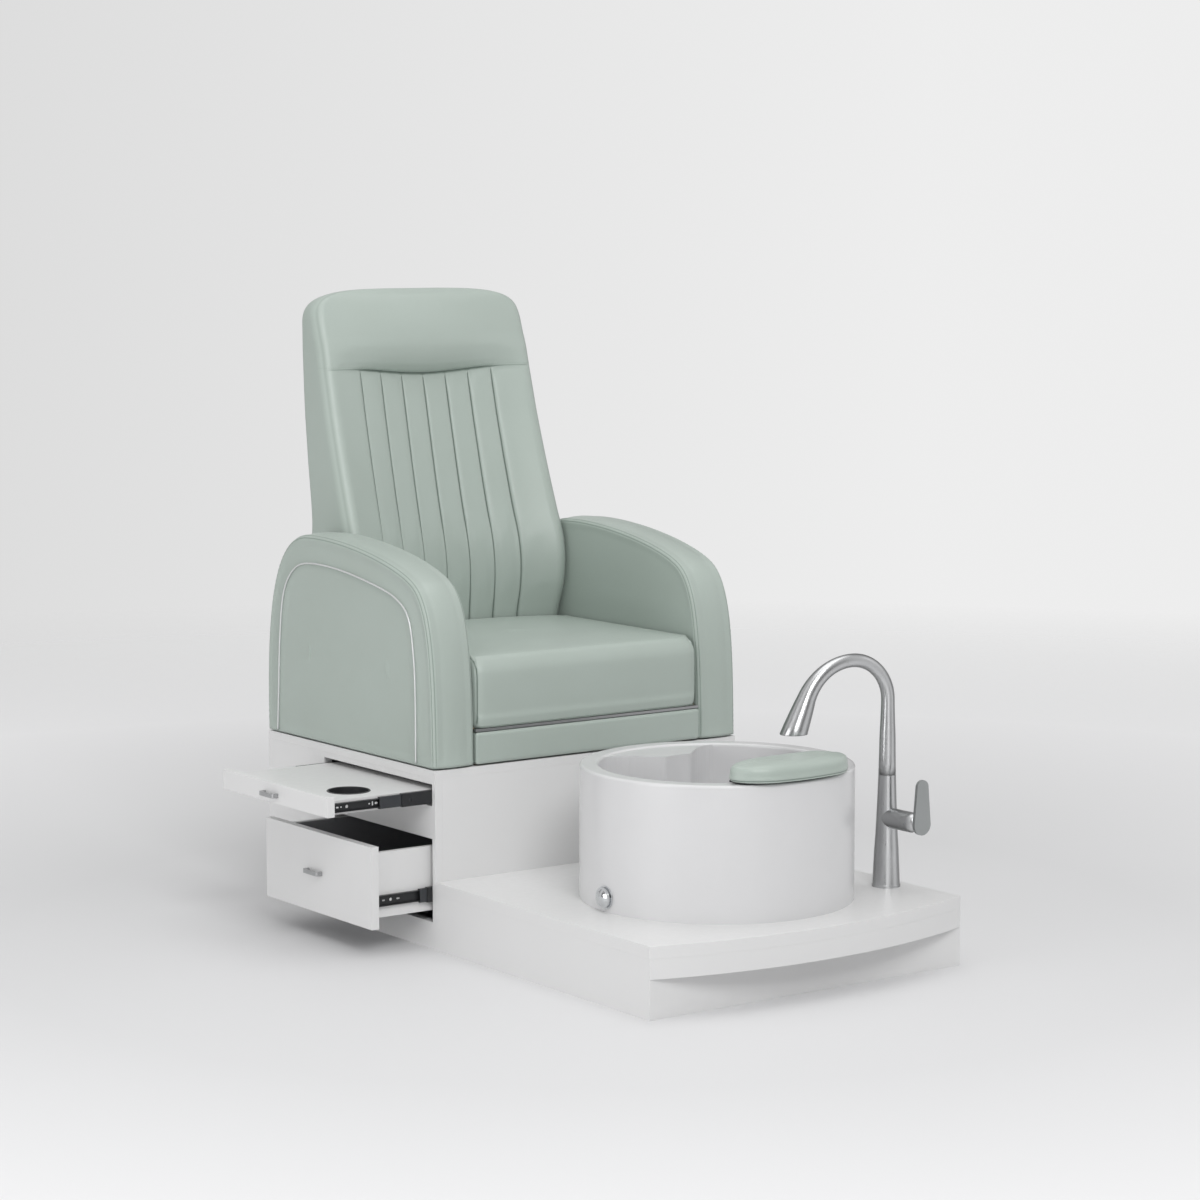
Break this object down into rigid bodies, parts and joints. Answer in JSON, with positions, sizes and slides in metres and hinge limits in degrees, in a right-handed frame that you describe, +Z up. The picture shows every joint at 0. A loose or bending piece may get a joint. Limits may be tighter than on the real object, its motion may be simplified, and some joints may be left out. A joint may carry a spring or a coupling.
{
  "type": "pedicure spa chair",
  "caption": "Upholstered armchair on a boxed pedestal, with a round foot basin, a mixer tap and a foot-rest pad on its bowed step, and a cup-holder tray and drawer that pull out at the side.",
  "frame": {"origin": "on the floor, under the middle of the platform's straight length and width, on the underside of the rear bearer", "axes": "+X to the sitter's left, +Y to the back, +Z up; the step and basin are towards -Y and the pull-outs towards -X"},
  "size_m": [1.076, 1.5409, 1.3736],
  "materials": {
    "white_laminate": "satin",
    "plywood": "matte",
    "sage_upholstery": "satin",
    "white_acrylic": "satin",
    "black_cup": "satin",
    "black_board": "matte",
    "black_steel": "satin",
    "cage_steel": "satin",
    "satin_steel": "satin",
    "brushed_tap": "satin",
    "chrome_fittings": "polished",
    "white_pipe": "satin",
    "brass_nuts": "satin",
    "black_hose": "satin",
    "grey_nozzle": "matte",
    "rubber_glides": "matte",
    "zinc_bolts": "satin",
    "silver_piping": "satin",
    "black_bracket": "matte"
  },
  "bodies": {
    "platform": {"step_deck": "white_laminate", "step_side_left": "white_laminate", "step_side_right": "white_laminate", "step_front": "white_laminate", "step_bow_fascia": "white_laminate", "step_bearers": "plywood", "pedestal_top": "white_laminate", "pedestal_left": "white_laminate", "pedestal_right": "white_laminate", "pedestal_front": "white_laminate", "pedestal_back": "white_laminate", "bay_wall": "plywood", "tray_outer_slides": "black_steel", "drawer_outer_slides": "black_steel", "basin_shell": "white_acrylic", "waste_body": "chrome_fittings", "waste_pipe": "white_pipe", "backnuts": "brass_nuts", "drain_knob_bush": "chrome_fittings", "drain_cable": "black_hose", "foot_rest_base": "black_bracket", "foot_rest_pad": "sage_upholstery", "tap_body": "brushed_tap", "tap_spigot": "brushed_tap", "supply_hoses": "black_hose", "chair_glides": "rubber_glides", "chair_bolts": "zinc_bolts", "seat_frame": "plywood", "seat_board": "plywood", "seat_apron": "sage_upholstery", "seat_trim": "satin_steel", "seat_cushion": "sage_upholstery", "arm_frames": "plywood", "arm_left": "sage_upholstery", "arm_right": "sage_upholstery", "arm_piping": "silver_piping", "back_board": "plywood", "back_cushion": "sage_upholstery"},
    "tray": {"tray_front": "white_laminate", "tray_board": "white_laminate", "cup_holder": "black_cup", "tray_pull": "satin_steel", "tray_inner_slides": "black_steel"},
    "tray_cages": {"tray_ball_cages": "cage_steel"},
    "tray_middles": {"tray_middle_slides": "black_steel"},
    "drawer": {"drawer_front": "white_laminate", "drawer_walls": "white_laminate", "drawer_bottom": "black_board", "drawer_liner": "black_board", "drawer_pull": "satin_steel", "drawer_inner_slides": "black_steel"},
    "drawer_cages": {"drawer_ball_cages": "cage_steel"},
    "drawer_middles": {"drawer_middle_slides": "black_steel"},
    "spout": {"tap_spout": "brushed_tap", "tap_aerator": "grey_nozzle"},
    "hub": {"mixing_hub": "brushed_tap", "lever_pin": "brushed_tap"},
    "lever": {"tap_lever": "brushed_tap"},
    "knob": {"drain_knob": "chrome_fittings"},
    "stopper": {"waste_stopper": "chrome_fittings"}
  },
  "joints": [
    {"name": "tray_slide", "type": "slide", "parent": "platform", "child": "tray", "axis": [-1, 0, 0], "range_m": [-0.255, 0.045]},
    {"name": "tray_middle_slide", "type": "slide", "parent": "platform", "child": "tray_middles", "axis": [-1, 0, 0], "range_m": [-0.1275, 0.0225]},
    {"name": "tray_cage_slide", "type": "slide", "parent": "platform", "child": "tray_cages", "axis": [-1, 0, 0], "range_m": [-0.19125, 0.03375]},
    {"name": "drawer_slide", "type": "slide", "parent": "platform", "child": "drawer", "axis": [-1, 0, 0], "range_m": [-0.15, 0.25]},
    {"name": "drawer_middle_slide", "type": "slide", "parent": "platform", "child": "drawer_middles", "axis": [-1, 0, 0], "range_m": [-0.075, 0.125]},
    {"name": "drawer_cage_slide", "type": "slide", "parent": "platform", "child": "drawer_cages", "axis": [-1, 0, 0], "range_m": [-0.1125, 0.1875]},
    {"name": "spout_swivel", "type": "hinge", "parent": "platform", "child": "spout", "pos_m": [0.344, -0.5505, 0.381], "axis": [0, 0, 1], "range_deg": [-60, 60]},
    {"name": "mixer_turn", "type": "hinge", "parent": "platform", "child": "hub", "pos_m": [0.344, -0.6308, 0.291], "axis": [0, -1, 0], "range_deg": [-45, 45]},
    {"name": "lever_lift", "type": "hinge", "parent": "hub", "child": "lever", "pos_m": [0.344, -0.6308, 0.291], "axis": [1, 0, 0], "range_deg": [0, 22]},
    {"name": "drain_knob_turn", "type": "hinge", "parent": "platform", "child": "knob", "pos_m": [-0.283, -0.4155, 0.175], "axis": [-1, 0, 0], "range_deg": [0, 90]},
    {"name": "stopper_lift", "type": "slide", "parent": "platform", "child": "stopper", "axis": [0, 0, 1], "range_m": [0, 0.01]}
  ],
  "couplings": [
    {"joint": "tray_middle_slide", "follows": "tray_slide", "ratio": 0.5},
    {"joint": "tray_cage_slide", "follows": "tray_slide", "ratio": 0.75},
    {"joint": "drawer_middle_slide", "follows": "drawer_slide", "ratio": 0.5},
    {"joint": "drawer_cage_slide", "follows": "drawer_slide", "ratio": 0.75},
    {"joint": "drain_knob_turn", "follows": "stopper_lift", "rad_per_m": 157.08}
  ]
}
